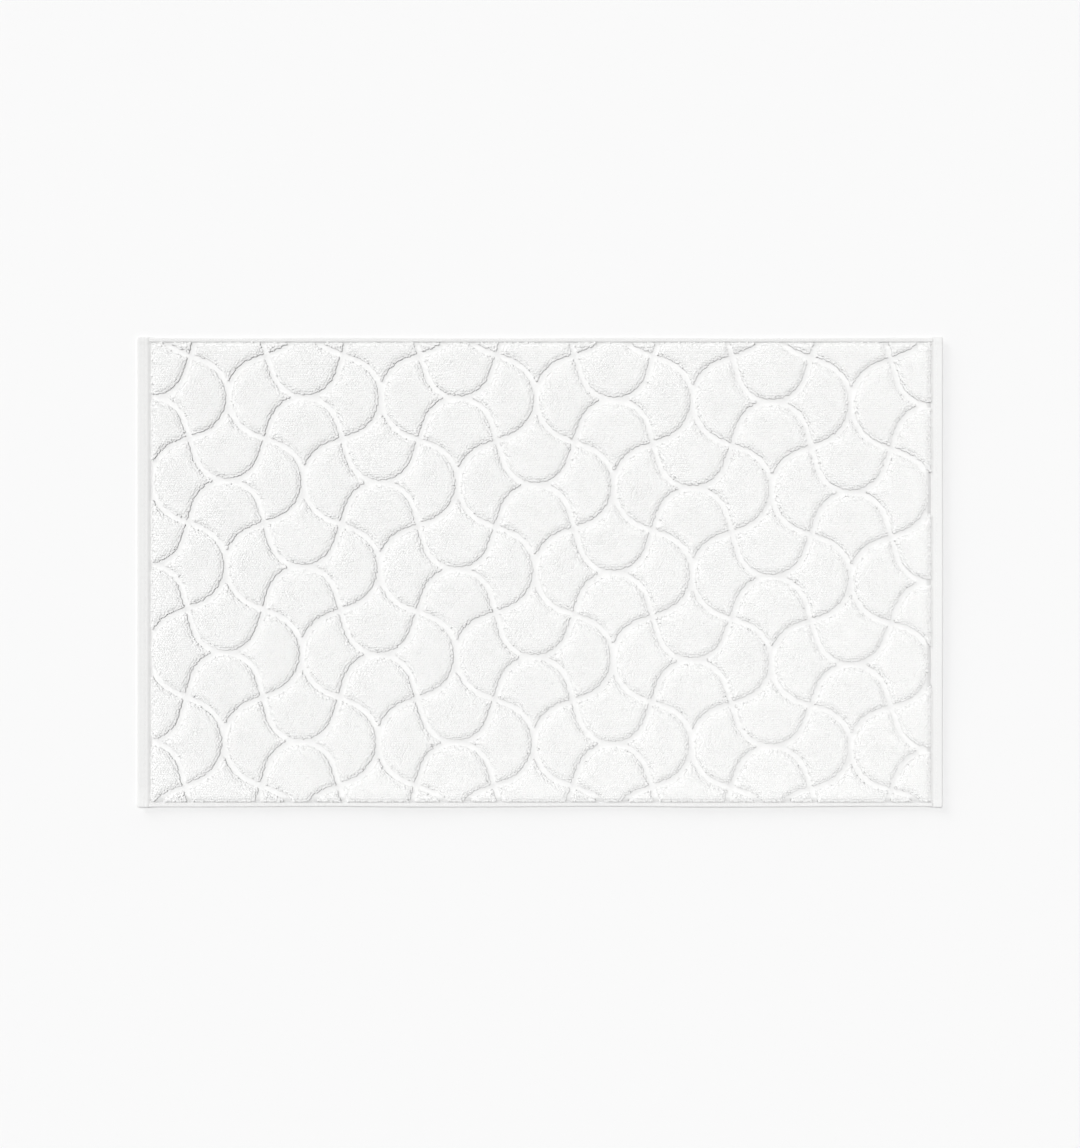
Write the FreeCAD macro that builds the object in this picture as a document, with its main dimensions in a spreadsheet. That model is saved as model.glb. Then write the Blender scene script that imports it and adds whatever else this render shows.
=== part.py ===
import FreeCAD, Part
import math
import os
import Sketcher
from FreeCAD import Placement, Rotation, Vector

# Woven cotton bath mat, laid flat. Millimetres. The origin is the centre of the underside: X runs along the
# long side, Y along the short side, Z up. The rear long side is at +Y and the right end at +X.

SIZES = [
    # The cloth
    ("mat_length", 864.0, "finished length, hem to hem"),
    ("mat_width", 504.0, "finished width, hem to hem"),
    ("cloth_thickness", 1.2, "flat-woven ground"),
    ("pile_height", 5.3, "terry loops above the ground"),
    ("pile_edge_gap", 0.3, "bare cloth between the pile and a hem"),
    # The turned hems
    ("hem_left", 15.5, "width of the left end hem"),
    ("hem_right", 12.4, "width of the right end hem"),
    ("hem_front", 5.6, "width of the front hem"),
    ("hem_rear", 5.6, "width of the rear hem"),
    ("hem_thickness", 3.3, "three layers pressed together"),
    ("end_hem_slope", 2.8, "run over which the cloth climbs an end hem"),
    ("side_hem_slope", 1.6, "run over which the cloth climbs a side hem"),
    # The seams
    ("seam_left", 9.0, "seam line from the left edge"),
    ("seam_right", 7.0, "seam line from the right edge"),
    ("seam_front", 2.8, "seam line from the front edge"),
    ("seam_rear", 2.8, "seam line from the rear edge"),
    ("thread_diameter", 0.6, "sewing thread"),
    ("channel_width", 0.7, "furrow that a seam draws into the hem"),
    ("needle_channel", 0.4, "depth of the furrow on the face"),
    ("bobbin_channel", 0.65, "depth of the furrow on the underside"),
    ("thread_end", 2.0, "distance from a thread's end to its hem's end"),
    # The groove pattern between the pile islands
    ("groove_width", 6.0, "bare cloth between two islands"),
    ("pitch_x", 83.8, "from one crossing column to the next"),
    ("pitch_y", 92.4, "from one crossing row to the next"),
    ("pattern_x", -5.1, "centre of the pattern from the mat's centre"),
    ("pattern_y", 1.3, "centre of the pattern from the mat's centre"),
    ("upright_radius", 37.3, "round end of a fan that points front or rear"),
    ("sideways_radius", 44.3, "round end of a fan that points left or right"),
    ("weft_fall", 8.1, "drop of a middle row from the centre to its right end"),
    ("weft_fall_fade", 0.8, "share of the drop that is gone at the front and rear rows"),
    ("weft_bow", 2.2, "drop of both ends of a row below its middle"),
    ("column_drift", 4.9, "shift to the right of the end columns"),
    ("warp_lean", 1.4, "shift to the right of the rear row"),
    ("warp_twist", 1.5, "how much the lean changes from left to right"),
    ("smallest_island", 14.0, "area under which an island would hold no loops, in square millimetres"),
]
CROSSING_COLUMNS = 10
CROSSING_ROWS = 6
UP = Vector(0, 0, 1)

doc = FreeCAD.newDocument("bath_mat")
sheet = doc.addObject("Spreadsheet::Sheet", "sizes")
for line, (alias, value, meaning) in enumerate(SIZES, start=1):
    sheet.set(f"A{line}", meaning)
    sheet.set(f"B{line}", str(value))
    sheet.setAlias(f"B{line}", alias)
doc.recompute()


def size(alias):
    """A driving dimension, read from the spreadsheet."""
    return float(sheet.get(alias))


def bind(thing, **expressions):
    """Bind properties of an object to the spreadsheet; a double underscore stands for a point."""
    for name, expression in expressions.items():
        thing.setExpression(name.replace("__", "."), expression)


def new_body(name, plane_role):
    """A body with one sketch on one of its own origin planes."""
    body = doc.addObject("PartDesign::Body", name)
    body.Label = name
    sketch = body.newObject("Sketcher::SketchObject", f"{name}_outline")
    plane = next(feature for feature in body.Origin.OriginFeatures if feature.Role == plane_role)
    sketch.AttachmentSupport = [(plane, "")]
    sketch.MapMode = "FlatFace"
    return body, sketch


def dimension(sketch, kind, first, second, name, expression):
    """A named sketch dimension between two points, driven by the spreadsheet. (-1, 1) is the origin."""
    start = sketch.getPoint(*first)
    end = sketch.getPoint(*second)
    value = end.x - start.x if kind == "DistanceX" else end.y - start.y
    index = sketch.addConstraint(Sketcher.Constraint(kind, *first, *second, value))
    sketch.renameConstraint(index, name)
    sketch.setExpression(f"Constraints.{name}", expression)


def add_pad(body, sketch, expression, side):
    pad = body.newObject("PartDesign::Pad", f"{body.Name}_pad")
    pad.Profile = sketch
    pad.SideType = side
    pad.setExpression("Length", expression)
    sketch.Visibility = False
    return pad


# Ground cloth: one flat-woven rectangle that ends where the hems begin to climb.

def make_ground_cloth():
    body, sketch = new_body("ground_cloth", "XY_Plane")
    length = size("mat_length") - size("hem_left") - size("hem_right")
    width = size("mat_width") - size("hem_front") - size("hem_rear")
    corners = [Vector(0, 0, 0), Vector(length, 0, 0), Vector(length, width, 0), Vector(0, width, 0)]
    for index, corner in enumerate(corners):
        sketch.addGeometry(Part.LineSegment(corner, corners[(index + 1) % 4]), False)
    for index in range(4):
        sketch.addConstraint(Sketcher.Constraint("Coincident", index, 2, (index + 1) % 4, 1))
        level = "Horizontal" if index % 2 == 0 else "Vertical"
        sketch.addConstraint(Sketcher.Constraint(level, index))
    sketch.addConstraint(Sketcher.Constraint("Coincident", 0, 1, -1, 1))
    dimension(sketch, "DistanceX", (0, 1), (0, 2), "cloth_length",
              "sizes.mat_length - sizes.hem_left - sizes.hem_right")
    dimension(sketch, "DistanceY", (1, 1), (1, 2), "cloth_width",
              "sizes.mat_width - sizes.hem_front - sizes.hem_rear")
    add_pad(body, sketch, "sizes.cloth_thickness", "One side")
    bind(body,
         Placement__Base__x="-sizes.mat_length / 2 + sizes.hem_left",
         Placement__Base__y="-sizes.mat_width / 2 + sizes.hem_front")
    return body


# Hems: the margin is turned under twice, so its outer edge is a round fold. The cloth climbs from the ground to
# the top layer at the inner side, and the seam draws a furrow into the face and into the underside.

def draw_hem_profile(sketch, width, slope, seam):
    thick = size("hem_thickness")
    fold = thick / 2
    cloth = size("cloth_thickness")
    furrow_in = size(seam) + size("channel_width") / 2
    furrow_out = size(seam) - size("channel_width") / 2
    corners = [
        Vector(size(width), 0, 0),
        Vector(size(width), cloth, 0),
        Vector(size(width) - size(slope), thick, 0),
        Vector(furrow_in, thick, 0),
        Vector(furrow_in, thick - size("needle_channel"), 0),
        Vector(furrow_out, thick - size("needle_channel"), 0),
        Vector(furrow_out, thick, 0),
        Vector(fold, thick, 0),
        Vector(fold, 0, 0),
        Vector(furrow_out, 0, 0),
        Vector(furrow_out, size("bobbin_channel"), 0),
        Vector(furrow_in, size("bobbin_channel"), 0),
        Vector(furrow_in, 0, 0),
    ]
    outer_fold = 7
    for index, corner in enumerate(corners):
        if index == outer_fold:
            circle = Part.Circle(Vector(fold, fold, 0), UP, fold)
            sketch.addGeometry(Part.ArcOfCircle(circle, math.pi / 2, 3 * math.pi / 2), False)
        else:
            sketch.addGeometry(Part.LineSegment(corner, corners[(index + 1) % len(corners)]), False)
    for index in range(len(corners)):
        following = (index + 1) % len(corners)
        joint = "Tangent" if outer_fold in (index, following) else "Coincident"
        sketch.addConstraint(Sketcher.Constraint(joint, index, 2, following, 1))
    for index in (0, 3, 5, 9, 11):
        sketch.addConstraint(Sketcher.Constraint("Vertical", index))
    for index in (2, 4, 6, 8, 10, 12):
        sketch.addConstraint(Sketcher.Constraint("Horizontal", index))
    origin = (-1, 1)
    sketch.addConstraint(Sketcher.Constraint("PointOnObject", 0, 1, -1))
    sketch.addConstraint(Sketcher.Constraint("PointOnObject", 8, 1, -1))
    sketch.addConstraint(Sketcher.Constraint("Horizontal", 2, 2, 6, 1))
    sketch.addConstraint(Sketcher.Constraint("Vertical", 5, 2, 9, 1))
    sketch.addConstraint(Sketcher.Constraint("Vertical", 3, 1, 11, 2))
    dimension(sketch, "DistanceX", origin, (0, 1), "band_width", f"sizes.{width}")
    dimension(sketch, "DistanceY", (0, 1), (0, 2), "ground_end", "sizes.cloth_thickness")
    dimension(sketch, "DistanceX", (1, 2), (1, 1), "climb", f"sizes.{slope}")
    dimension(sketch, "DistanceY", origin, (1, 2), "thickness", "sizes.hem_thickness")
    dimension(sketch, "DistanceX", origin, (2, 2), "seam_line", f"sizes.{seam} + sizes.channel_width / 2")
    dimension(sketch, "DistanceX", (4, 2), (4, 1), "furrow_width", "sizes.channel_width")
    dimension(sketch, "DistanceY", (3, 2), (3, 1), "face_furrow", "sizes.needle_channel")
    dimension(sketch, "DistanceY", (9, 1), (9, 2), "under_furrow", "sizes.bobbin_channel")
    dimension(sketch, "DistanceX", origin, (outer_fold, 3), "fold_radius", "sizes.hem_thickness / 2")


def make_hem(name, slope, length, turn, base_x, base_y):
    """One hem; its profile is drawn from the outer edge inwards, then turned to face its own side."""
    body, sketch = new_body(f"hem_{name}", "XZ_Plane")
    draw_hem_profile(sketch, f"hem_{name}", slope, f"seam_{name}")
    add_pad(body, sketch, length, "Symmetric")
    body.Placement = Placement(Vector(0, 0, 0), Rotation(UP, turn))
    bind(body, Placement__Base__x=base_x, Placement__Base__y=base_y)
    return body


def make_end_hems():
    return [
        make_hem("left", "end_hem_slope", "sizes.mat_width", 0, "-sizes.mat_length / 2", "0"),
        make_hem("right", "end_hem_slope", "sizes.mat_width", 180, "sizes.mat_length / 2", "0"),
    ]


def make_side_hems():
    """The side hems run between the end hems, which are turned over them at the corners."""
    length = "sizes.mat_length - sizes.hem_left - sizes.hem_right"
    middle = "(sizes.hem_left - sizes.hem_right) / 2"
    return [
        make_hem("front", "side_hem_slope", length, 90, middle, "-sizes.mat_width / 2"),
        make_hem("rear", "side_hem_slope", length, 270, middle, "sizes.mat_width / 2"),
    ]


# Sewing threads: a needle thread lies in the face furrow of each hem, a bobbin thread in the furrow underneath.

def make_thread(name, run, rotation, base_x, base_y, base_z):
    thread = doc.addObject("Part::Cylinder", name)
    thread.Label = name
    thread.Placement = Placement(Vector(0, 0, 0), rotation)
    bind(thread, Radius="sizes.thread_diameter / 2", Height=run,
         Placement__Base__x=base_x, Placement__Base__y=base_y, Placement__Base__z=base_z)
    return thread


def make_threads():
    along_y = Rotation(Vector(1, 0, 0), -90)
    along_x = Rotation(Vector(0, 1, 0), 90)
    end_run = "sizes.mat_width - 2 * sizes.thread_end"
    end_start = "-sizes.mat_width / 2 + sizes.thread_end"
    side_run = "sizes.mat_length - sizes.hem_left - sizes.hem_right - 2 * sizes.thread_end"
    side_start = "-sizes.mat_length / 2 + sizes.hem_left + sizes.thread_end"
    seams = [
        ("left", end_run, along_y, "-sizes.mat_length / 2 + sizes.seam_left", end_start),
        ("right", end_run, along_y, "sizes.mat_length / 2 - sizes.seam_right", end_start),
        ("front", side_run, along_x, side_start, "-sizes.mat_width / 2 + sizes.seam_front"),
        ("rear", side_run, along_x, side_start, "sizes.mat_width / 2 - sizes.seam_rear"),
    ]
    levels = [
        ("needle", "sizes.hem_thickness - sizes.needle_channel + sizes.thread_diameter / 2"),
        ("bobbin", "sizes.bobbin_channel - sizes.thread_diameter / 2"),
    ]
    return [
        make_thread(f"{kind}_thread_{side}", run, rotation, base_x, base_y, base_z)
        for kind, base_z in levels
        for side, run, rotation, base_x, base_y in seams
    ]


# Pile: islands of terry loops between two families of wavy grooves. The grooves cross on a lattice, and between
# two crossings each one bulges to one side, turn and turn about. Two bulges meet back to back in every cell, and
# that cuts the cell into two fans. A fan has one round side and two hollow sides that meet in a point.

def crossing(column, row):
    """A point of the lattice. The rows fall to the right and bow a little, as woven goods do."""
    middle_column = (CROSSING_COLUMNS - 1) / 2
    middle_row = (CROSSING_ROWS - 1) / 2
    across = (column - middle_column) / middle_column
    upward = (row - middle_row) / middle_row
    fade = size("weft_fall_fade") * min(upward**2, 1)
    x = size("pattern_x") + size("pitch_x") * (column - middle_column)
    x += size("column_drift") * across**2 + size("warp_lean") * upward - size("warp_twist") * across * upward
    y = size("pattern_y") + size("pitch_y") * (row - middle_row) - size("weft_bow") * across**2
    y -= size("weft_fall") * across * (1 - fade)
    return Vector(x, y, 0)


class GrooveBulge:
    """Centre line of a groove from one crossing to the next: a straight flank, an arc, a straight flank."""

    def __init__(self, start, end, peak, roundness):
        chord = end - start
        half = chord.Length / 2
        radius = roundness * chord.Length
        self.start = start
        self.end = end
        self.along = chord / chord.Length
        self.across = Vector(-self.along.y, self.along.x, 0)
        if self.across.dot(peak - start) < 0:
            self.across = -self.across
        self.radius = radius
        rise = self.across.dot(peak - start)
        drop = rise - radius
        self.centre = start + self.along * half + self.across * drop
        self.lean = math.atan2(drop, half) + math.asin(radius / math.hypot(half, drop))

    def outward(self, side):
        """Unit vector square to a flank, away from the arc's centre. side is -1 at the start, 1 at the end."""
        return self.along * (side * math.sin(self.lean)) + self.across * math.cos(self.lean)

    def tangent_point(self, side, offset):
        """Where a flank meets the arc, on the line that runs at an offset outside the centre line."""
        return self.centre + self.outward(side) * (self.radius + offset)

    def flank_line(self, side, offset):
        """A point and a direction of a flank at an offset outside the centre line."""
        node = self.start if side < 0 else self.end
        inward = self.along * (-side * math.cos(self.lean)) + self.across * math.sin(self.lean)
        return node + self.outward(side) * offset, inward


def meeting_point(first, second):
    """Where two lines in the plane cross."""
    point, direction = first
    other, other_direction = second
    square = Vector(-other_direction.y, other_direction.x, 0)
    return point + direction * (square.dot(other - point) / square.dot(direction))


def circles_meeting_point(first, second, offset, towards):
    """Where the arcs of two bulges cross at an offset outside them, on the side of a given point."""
    first_radius = first.radius + offset
    second_radius = second.radius + offset
    line = second.centre - first.centre
    reach = (first_radius**2 - second_radius**2 + line.Length**2) / (2 * line.Length)
    direction = line / line.Length
    square = Vector(-direction.y, direction.x, 0)
    if square.dot(towards - first.centre) < 0:
        square = -square
    return first.centre + direction * reach + square * math.sqrt(first_radius**2 - reach**2)


def hollow_edge(bulge, offset, tip):
    """The arc outside a bulge, from its start flank to the point of the fan beside it."""
    start = bulge.tangent_point(-1, offset)
    middle = bulge.centre + ((start + tip) / 2 - bulge.centre).normalize() * (bulge.radius + offset)
    return Part.Arc(start, middle, tip).toShape()


def round_edge(bulge, offset):
    """The arc of a bulge, whole, from its start flank to its end flank."""
    start = bulge.tangent_point(-1, offset)
    end = bulge.tangent_point(1, offset)
    top = bulge.centre + bulge.across * (bulge.radius + offset)
    return Part.Arc(start, top, end).toShape()


def line_edge(start, end):
    return Part.LineSegment(start, end).toShape()


def fan_prism(near, far, peak, cusp, own_roundness, other_roundness):
    """One fan: the round side lies inside its own bulge, the hollow sides lie outside the two beside it."""
    half_groove = size("groove_width") / 2
    own = GrooveBulge(crossing(*near[0]), crossing(*near[1]), crossing(*peak), own_roundness)
    first = GrooveBulge(crossing(*near[0]), crossing(*far[0]), crossing(*cusp), other_roundness)
    second = GrooveBulge(crossing(*near[1]), crossing(*far[1]), crossing(*cusp), other_roundness)
    first_corner = meeting_point(own.flank_line(-1, -half_groove), first.flank_line(-1, half_groove))
    second_corner = meeting_point(own.flank_line(1, -half_groove), second.flank_line(-1, half_groove))
    tip = circles_meeting_point(first, second, half_groove, own.centre)
    edges = [
        line_edge(first_corner, own.tangent_point(-1, -half_groove)),
        round_edge(own, -half_groove),
        line_edge(own.tangent_point(1, -half_groove), second_corner),
        line_edge(second_corner, second.tangent_point(-1, half_groove)),
        hollow_edge(second, half_groove, tip),
        hollow_edge(first, half_groove, tip),
        line_edge(first.tangent_point(-1, half_groove), first_corner),
    ]
    return Part.Face(Part.Wire(edges)).extrude(UP * size("pile_height"))


def upright_roundness():
    return size("upright_radius") / size("pitch_x")


def sideways_roundness():
    return size("sideways_radius") / size("pitch_y")


def upright_fan(column, row):
    """The fan whose round side is the bulge from (column, row) to the next column; it points front or rear."""
    side = 1 if (column + row) % 2 else -1
    near = [(column, row), (column + 1, row)]
    far = [(column, row - side), (column + 1, row - side)]
    peak = (column + 0.5, row + side / 2)
    cusp = (column + 0.5, row - side / 2)
    return fan_prism(near, far, peak, cusp, upright_roundness(), sideways_roundness())


def sideways_fan(column, row):
    """The fan whose round side is the bulge from (column, row) to the next row; it points left or right."""
    side = -1 if (column + row) % 2 else 1
    near = [(column, row), (column, row + 1)]
    far = [(column - side, row), (column - side, row + 1)]
    peak = (column + side / 2, row + 0.5)
    cusp = (column - side / 2, row + 0.5)
    return fan_prism(near, far, peak, cusp, sideways_roundness(), upright_roundness())


def pile_field():
    """The rectangle that holds all the pile, as tall as the pile."""
    gap = size("pile_edge_gap")
    left = -size("mat_length") / 2 + size("hem_left") + gap
    right = size("mat_length") / 2 - size("hem_right") - gap
    front = -size("mat_width") / 2 + size("hem_front") + gap
    rear = size("mat_width") / 2 - size("hem_rear") - gap
    return Part.makeBox(right - left, rear - front, size("pile_height"), Vector(left, front, 0))


def make_pile_course(name, fans, field):
    """A row of fans, cut to the pile field."""
    solids = []
    for fan in fans:
        inside = fan if field.BoundBox.isInside(fan.BoundBox) else fan.common(field)
        solids += [solid for solid in inside.Solids
                   if solid.Volume > size("smallest_island") * size("pile_height")]
    course = doc.addObject("Part::Feature", name)
    course.Label = name
    course.Shape = Part.makeCompound(solids)
    course.Placement = Placement(Vector(0, 0, size("cloth_thickness")), Rotation())
    return course


def make_pile():
    field = pile_field()
    courses = []
    for row in range(CROSSING_ROWS):
        fans = [upright_fan(column, row) for column in range(-1, CROSSING_COLUMNS)]
        courses.append(make_pile_course(f"pile_upright_fans_row_{row + 1}", fans, field))
    for row in range(-1, CROSSING_ROWS):
        fans = [sideways_fan(column, row) for column in range(CROSSING_COLUMNS)]
        if row < 0:
            name = "pile_edge_islands_front"
        elif row == CROSSING_ROWS - 1:
            name = "pile_edge_islands_rear"
        else:
            name = f"pile_sideways_fans_row_{row + 1}"
        courses.append(make_pile_course(name, fans, field))
    return courses


def check_document(sub_parts):
    """Stop if anything in the document failed, or a sub-part holds no sound solid."""
    for thing in doc.Objects:
        if "Invalid" in thing.State or "Error" in thing.State:
            raise RuntimeError(f"{thing.Name} failed: {thing.State}")
    for sub_part in sub_parts:
        shape = sub_part.Shape
        if shape.isNull() or not shape.isValid() or not shape.Solids:
            raise RuntimeError(f"{sub_part.Label} has no valid solid")


def write_parts(sub_parts):
    os.makedirs("parts", exist_ok=True)
    for sub_part in sub_parts:
        sub_part.Shape.exportStep(f"parts/{sub_part.Label}.step")
        print(f"{sub_part.Label}: {len(sub_part.Shape.Solids)} solids, {sub_part.Shape.Volume / 1000:.2f} cm3")


parts = [make_ground_cloth()]
parts += make_end_hems()
parts += make_side_hems()
parts += make_threads()
parts += make_pile()
doc.recompute()
check_document(parts)
write_parts(parts)
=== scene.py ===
import math

import bmesh
import bpy
import numpy as np
from mathutils import Matrix, Vector


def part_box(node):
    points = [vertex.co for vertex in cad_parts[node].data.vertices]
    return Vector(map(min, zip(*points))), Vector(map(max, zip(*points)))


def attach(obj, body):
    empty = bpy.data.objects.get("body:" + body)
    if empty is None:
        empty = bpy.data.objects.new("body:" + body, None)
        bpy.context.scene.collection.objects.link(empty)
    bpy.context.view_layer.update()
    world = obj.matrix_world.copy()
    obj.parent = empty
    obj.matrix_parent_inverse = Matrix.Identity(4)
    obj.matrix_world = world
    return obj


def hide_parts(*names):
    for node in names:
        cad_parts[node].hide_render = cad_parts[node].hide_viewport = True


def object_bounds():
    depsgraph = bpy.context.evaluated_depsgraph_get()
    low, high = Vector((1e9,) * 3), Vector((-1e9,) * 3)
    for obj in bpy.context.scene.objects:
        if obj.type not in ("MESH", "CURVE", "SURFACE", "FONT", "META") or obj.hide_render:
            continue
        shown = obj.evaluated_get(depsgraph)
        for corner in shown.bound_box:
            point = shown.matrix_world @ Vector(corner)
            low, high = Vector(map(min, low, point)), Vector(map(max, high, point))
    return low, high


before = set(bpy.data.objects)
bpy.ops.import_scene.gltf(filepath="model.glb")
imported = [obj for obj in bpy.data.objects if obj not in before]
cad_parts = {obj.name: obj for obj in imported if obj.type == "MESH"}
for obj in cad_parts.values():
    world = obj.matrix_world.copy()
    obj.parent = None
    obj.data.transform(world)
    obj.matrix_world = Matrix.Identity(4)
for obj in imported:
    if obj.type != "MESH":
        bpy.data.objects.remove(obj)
cad_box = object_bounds()

# ---------------------------------------------------------------------------------------------------------
# Ground cloth
# One piece of bleached cotton, woven flat and firm. It carries every loop of the pile, shows bare in the
# wavy channels between them, and lies on the floor with the faint swells that cloth keeps after folding.

MM = 0.001
cloth_low, cloth_high = (Vector(corner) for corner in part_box("ground_cloth"))
mat_low, mat_high = (Vector(corner) for corner in cad_box)
MAT_LENGTH = mat_high.x - mat_low.x
MAT_WIDTH = mat_high.y - mat_low.y
DROP_HEIGHT = 6 * MM
RUMPLE = 3 * MM
CLOTH_SKIN = 1 * MM
SETTLING_FRAMES = 24
TOUCHING_PERCENT = 20


def settled_sheet(cells_x=72, cells_y=42, most_lift=1.6 * MM):
    """Drop a rumpled sheet on the floor; returns how high each point of it still stands when settled."""
    ground_floor = bpy.data.objects.new("settling_floor", bpy.data.meshes.new("settling_floor"))
    bm = bmesh.new()
    bmesh.ops.create_grid(bm, x_segments=2, y_segments=2, size=2)
    bm.to_mesh(ground_floor.data)
    bm.free()
    bpy.context.scene.collection.objects.link(ground_floor)
    ground_floor.modifiers.new("Collision", "COLLISION")
    ground_floor.collision.thickness_outer = CLOTH_SKIN

    sheet = bpy.data.objects.new("settling_sheet", bpy.data.meshes.new("settling_sheet"))
    bm = bmesh.new()
    bmesh.ops.create_grid(bm, x_segments=cells_x, y_segments=cells_y, size=0.5)
    bmesh.ops.scale(bm, verts=bm.verts, vec=(MAT_LENGTH, MAT_WIDTH, 1))
    for vert in bm.verts:
        x, y = vert.co.x, vert.co.y
        swell = math.sin(9 * x + 2 * y) * math.cos(11 * y - 3 * x) + 0.6 * math.sin(23 * x - 14 * y + 1)
        vert.co.z = DROP_HEIGHT + RUMPLE * swell
    bm.to_mesh(sheet.data)
    bm.free()
    bpy.context.scene.collection.objects.link(sheet)
    cloth = sheet.modifiers.new("Cloth", "CLOTH")
    cloth.settings.quality = 6
    cloth.settings.mass = 0.4
    cloth.settings.bending_stiffness = 8
    cloth.settings.tension_stiffness = 40
    cloth.settings.compression_stiffness = 40
    cloth.collision_settings.distance_min = CLOTH_SKIN
    cloth.point_cache.frame_end = SETTLING_FRAMES
    for frame_number in range(1, SETTLING_FRAMES + 1):
        bpy.context.scene.frame_set(frame_number)
    settled = sheet.evaluated_get(bpy.context.evaluated_depsgraph_get()).to_mesh()
    heights = np.empty(len(settled.vertices) * 3)
    settled.vertices.foreach_get("co", heights)
    rest = np.empty(len(sheet.data.vertices) * 3)
    sheet.data.vertices.foreach_get("co", rest)
    rest = rest.reshape(-1, 3)
    order = np.lexsort((rest[:, 0].round(6), rest[:, 1].round(6)))
    lifts = heights.reshape(-1, 3)[order, 2].reshape(cells_y + 1, cells_x + 1)
    bpy.context.scene.frame_set(1)
    for thing in (sheet, ground_floor):
        mesh = thing.data
        bpy.data.objects.remove(thing)
        bpy.data.meshes.remove(mesh)
    return np.clip(lifts - np.percentile(lifts, TOUCHING_PERCENT), 0, most_lift)


SWELLS = settled_sheet()
CURL_REACH = 28 * MM
CURLS = {"left": 0.4 * MM, "right": 3.3 * MM, "front": 3.1 * MM, "rear": 0.3 * MM}


def swell_at(x, y):
    """How high the underside of the cloth stands off the floor at arrays of places."""
    rows, columns = SWELLS.shape
    across = np.clip((x - mat_low.x) / MAT_LENGTH, 0, 1) * (columns - 1)
    along = np.clip((y - mat_low.y) / MAT_WIDTH, 0, 1) * (rows - 1)
    column = np.minimum(across.astype(int), columns - 2)
    row = np.minimum(along.astype(int), rows - 2)
    u = across - column
    v = along - row
    near = SWELLS[row, column] * (1 - u) + SWELLS[row, column + 1] * u
    far = SWELLS[row + 1, column] * (1 - u) + SWELLS[row + 1, column + 1] * u
    return near * (1 - v) + far * v


def curl_at(x, y):
    """How far the edges of the cloth turn up off the floor: most at the front and on the right."""
    inside = {"left": x - mat_low.x, "right": mat_high.x - x, "front": y - mat_low.y, "rear": mat_high.y - y}
    raised = np.zeros(len(x))
    for side, curl in CURLS.items():
        raised = np.maximum(raised, curl * np.clip(1 - inside[side] / CURL_REACH, 0, 1) ** 2)
    long_waves = 0.2 * np.sin(17 * x + 9 * y)
    short_waves = 0.12 * np.sin(41 * x - 23 * y + 2)
    return raised * (1 + long_waves + short_waves)


def points_of(mesh):
    """The places of a mesh's vertices, one row each."""
    points = np.empty(len(mesh.vertices) * 3)
    mesh.vertices.foreach_get("co", points)
    return points.reshape(-1, 3)


def lay_down(mesh):
    """Lift every vertex with the swells and the curled edges of the cloth."""
    points = points_of(mesh)
    points[:, 2] += swell_at(points[:, 0], points[:, 1]) + curl_at(points[:, 0], points[:, 1])
    mesh.vertices.foreach_set("co", points.ravel())
    mesh.update()


def cotton(name, colour, mottle):
    """A matt cotton material with faint cloudy differences of shade; returns it with its nodes and links."""
    material = bpy.data.materials.new(name)
    material.use_nodes = True
    nodes = material.node_tree.nodes
    links = material.node_tree.links
    shader = nodes["Principled BSDF"]
    shader.inputs["Roughness"].default_value = 0.95
    shader.inputs["Specular IOR Level"].default_value = 0.05
    place = nodes.new("ShaderNodeTexCoord")
    place.name = "place"
    clouds = nodes.new("ShaderNodeTexNoise")
    clouds.inputs["Scale"].default_value = 14
    clouds.inputs["Detail"].default_value = 5
    shade = nodes.new("ShaderNodeMix")
    shade.name = "shade"
    shade.data_type = "RGBA"
    shade.inputs["A"].default_value = (*(channel * (1 - mottle) for channel in colour), 1)
    shade.inputs["B"].default_value = (*colour, 1)
    links.new(place.outputs["Object"], clouds.inputs["Vector"])
    links.new(clouds.outputs["Fac"], shade.inputs["Factor"])
    links.new(shade.outputs["Result"], shader.inputs["Base Color"])
    return material, nodes, links


def raise_bumps(nodes, links, height, distance, strength=0.5):
    """Let a height pattern shape the surface, up to a distance in metres; returns the bump node."""
    bump = nodes.new("ShaderNodeBump")
    bump.inputs["Strength"].default_value = strength
    bump.inputs["Distance"].default_value = distance
    links.new(height, bump.inputs["Height"])
    links.new(bump.outputs["Normal"], nodes["Principled BSDF"].inputs["Normal"])
    return bump


THREADS_PER_METRE = 900
WAVES_PER_UNIT_SCALE = 20


def woven(name, colour, mottle, depth):
    """A plain weave: fine ribs both ways, one for each thread."""
    material, nodes, links = cotton(name, colour, mottle)
    weave = nodes.new("ShaderNodeMath")
    weave.operation = "MAXIMUM"
    for socket, direction in enumerate("XY"):
        ribs = nodes.new("ShaderNodeTexWave")
        ribs.bands_direction = direction
        ribs.inputs["Scale"].default_value = THREADS_PER_METRE / WAVES_PER_UNIT_SCALE
        ribs.inputs["Distortion"].default_value = 0.6
        ribs.inputs["Detail"].default_value = 1
        links.new(nodes["place"].outputs["Object"], ribs.inputs["Vector"])
        links.new(ribs.outputs["Fac"], weave.inputs[socket])
    raise_bumps(nodes, links, weave.outputs["Value"], depth)
    return material


# The bare ground is the same cotton as the hems, but it is given a paler white than they are: painted light
# that offsets the shade in the channels between the islands.
ground_weave = woven("bare_ground_weave", (0.82, 0.82, 0.815), 0.03, 0.25 * MM)


def set_piece(piece, material, slot, *cad_nodes):
    """Give a finished piece its material, tie it to the body, and hide the nodes that it stands for."""
    bpy.context.scene.collection.objects.link(piece)
    piece.data.materials.clear()
    piece.data.materials.append(material)
    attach(piece, "root")
    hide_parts(*cad_nodes)
    return piece


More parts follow.
